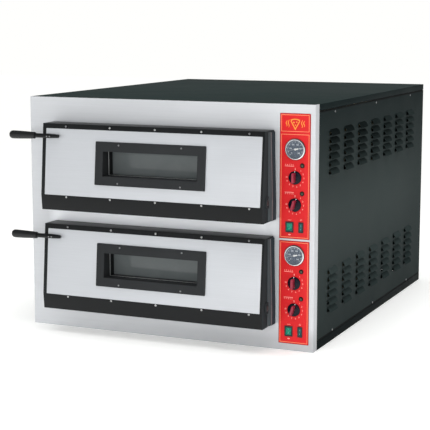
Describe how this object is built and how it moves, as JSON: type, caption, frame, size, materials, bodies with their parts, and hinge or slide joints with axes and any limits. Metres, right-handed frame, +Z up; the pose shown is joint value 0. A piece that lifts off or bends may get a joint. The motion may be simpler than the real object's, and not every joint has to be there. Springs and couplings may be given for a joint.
{
  "type": "countertop pizza oven",
  "caption": "Free-standing twin-deck electric pizza oven: louvred steel casing, drop-down glazed doors with side handles, thermostats, gauges and rocker switches.",
  "frame": {"origin": "centre of the casing's underside, on the surface that the oven stands on", "axes": "+Z up, -Y towards the cook (the door side), +X to the cook's right (the control side)"},
  "size_m": [1.014, 1.324, 0.75],
  "materials": {
    "casing_paint": "satin",
    "stainless": "satin",
    "mineral_wool": "matte",
    "black_plastic": "satin",
    "chamber_steel": "satin",
    "baking_stone": "matte",
    "element_sheath": "matte",
    "black_paint": "satin",
    "steel_pin": "satin",
    "window_glass": "gloss",
    "grip_plastic": "satin",
    "red_overlay": "satin",
    "gauge_bezel": "polished",
    "gauge_glass": "gloss",
    "needle_white": "satin",
    "indicator_lens": "gloss",
    "thermostat_case": "satin",
    "knob_plastic": "satin",
    "green_rocker": "gloss",
    "teal_rocker": "gloss"
  },
  "bodies": {
    "root": {"base_tray": "casing_paint", "top_cover": "casing_paint", "rear_panel": "casing_paint", "right_side_panel": "casing_paint", "left_side_panel": "casing_paint", "front_panel": "stainless", "insulation_block": "mineral_wool", "cable_gland": "black_plastic", "lower_chamber": "chamber_steel", "lower_baking_stone": "baking_stone", "lower_floor_element": "element_sheath", "lower_ceiling_element": "element_sheath", "lower_door_surround": "black_paint", "lower_hinge_rod": "steel_pin", "lower_control_plate": "red_overlay", "lower_gauge_case": "gauge_bezel", "lower_gauge_glass": "gauge_glass", "lower_upper_indicator": "indicator_lens", "lower_lower_indicator": "indicator_lens", "lower_top_heat_thermostat": "thermostat_case", "lower_floor_heat_thermostat": "thermostat_case", "lower_main_switch_housing": "black_plastic", "lower_light_switch_housing": "black_plastic", "upper_chamber": "chamber_steel", "upper_baking_stone": "baking_stone", "upper_floor_element": "element_sheath", "upper_ceiling_element": "element_sheath", "upper_door_surround": "black_paint", "upper_hinge_rod": "steel_pin", "upper_control_plate": "red_overlay", "upper_gauge_case": "gauge_bezel", "upper_gauge_glass": "gauge_glass", "upper_upper_indicator": "indicator_lens", "upper_lower_indicator": "indicator_lens", "upper_top_heat_thermostat": "thermostat_case", "upper_floor_heat_thermostat": "thermostat_case", "upper_main_switch_housing": "black_plastic", "upper_light_switch_housing": "black_plastic"},
    "lower_door": {"lower_door_shell": "black_paint", "lower_door_front_plate": "stainless", "lower_window_frame": "black_paint", "lower_window_glass": "window_glass", "lower_handle_rod": "black_paint", "lower_handle_grip": "grip_plastic"},
    "lower_top_heat_knob": {"lower_top_heat_knob": "knob_plastic"},
    "lower_floor_heat_knob": {"lower_floor_heat_knob": "knob_plastic"},
    "lower_main_rocker": {"lower_main_rocker": "green_rocker"},
    "lower_light_rocker": {"lower_light_rocker": "teal_rocker"},
    "lower_gauge_needle": {"lower_gauge_needle": "needle_white"},
    "upper_door": {"upper_door_shell": "black_paint", "upper_door_front_plate": "stainless", "upper_window_frame": "black_paint", "upper_window_glass": "window_glass", "upper_handle_rod": "black_paint", "upper_handle_grip": "grip_plastic"},
    "upper_top_heat_knob": {"upper_top_heat_knob": "knob_plastic"},
    "upper_floor_heat_knob": {"upper_floor_heat_knob": "knob_plastic"},
    "upper_main_rocker": {"upper_main_rocker": "green_rocker"},
    "upper_light_rocker": {"upper_light_rocker": "teal_rocker"},
    "upper_gauge_needle": {"upper_gauge_needle": "needle_white"}
  },
  "joints": [
    {"name": "lower_door_hinge", "type": "hinge", "parent": "root", "child": "lower_door", "pos_m": [-0.018, -0.665, 0.138], "axis": [1, 0, 0], "range_deg": [0, 90]},
    {"name": "lower_top_heat_knob_turn", "type": "hinge", "parent": "root", "child": "lower_top_heat_knob", "pos_m": [0.427, -0.61, 0.21], "axis": [0, 1, 0], "range_deg": [0, 285]},
    {"name": "lower_floor_heat_knob_turn", "type": "hinge", "parent": "root", "child": "lower_floor_heat_knob", "pos_m": [0.427, -0.61, 0.128], "axis": [0, 1, 0], "range_deg": [-16, 269]},
    {"name": "lower_main_rocker_tilt", "type": "hinge", "parent": "root", "child": "lower_main_rocker", "pos_m": [0.4105, -0.607, 0.0605], "axis": [1, 0, 0], "range_deg": [0, 16]},
    {"name": "lower_light_rocker_tilt", "type": "hinge", "parent": "root", "child": "lower_light_rocker", "pos_m": [0.447, -0.607, 0.0605], "axis": [1, 0, 0], "range_deg": [0, 16]},
    {"name": "lower_gauge_needle_sweep", "type": "hinge", "parent": "root", "child": "lower_gauge_needle", "pos_m": [0.427, -0.609, 0.295], "axis": [0, 1, 0], "range_deg": [-34, 235], "stiffness_Nm_per_rad": 0.004},
    {"name": "upper_door_hinge", "type": "hinge", "parent": "root", "child": "upper_door", "pos_m": [-0.018, -0.665, 0.459], "axis": [1, 0, 0], "range_deg": [0, 90]},
    {"name": "upper_top_heat_knob_turn", "type": "hinge", "parent": "root", "child": "upper_top_heat_knob", "pos_m": [0.427, -0.61, 0.531], "axis": [0, 1, 0], "range_deg": [0, 285]},
    {"name": "upper_floor_heat_knob_turn", "type": "hinge", "parent": "root", "child": "upper_floor_heat_knob", "pos_m": [0.427, -0.61, 0.449], "axis": [0, 1, 0], "range_deg": [-16, 269]},
    {"name": "upper_main_rocker_tilt", "type": "hinge", "parent": "root", "child": "upper_main_rocker", "pos_m": [0.4105, -0.607, 0.3815], "axis": [1, 0, 0], "range_deg": [0, 16]},
    {"name": "upper_light_rocker_tilt", "type": "hinge", "parent": "root", "child": "upper_light_rocker", "pos_m": [0.447, -0.607, 0.3815], "axis": [1, 0, 0], "range_deg": [0, 16]},
    {"name": "upper_gauge_needle_sweep", "type": "hinge", "parent": "root", "child": "upper_gauge_needle", "pos_m": [0.427, -0.609, 0.616], "axis": [0, 1, 0], "range_deg": [-34, 235], "stiffness_Nm_per_rad": 0.004}
  ]
}
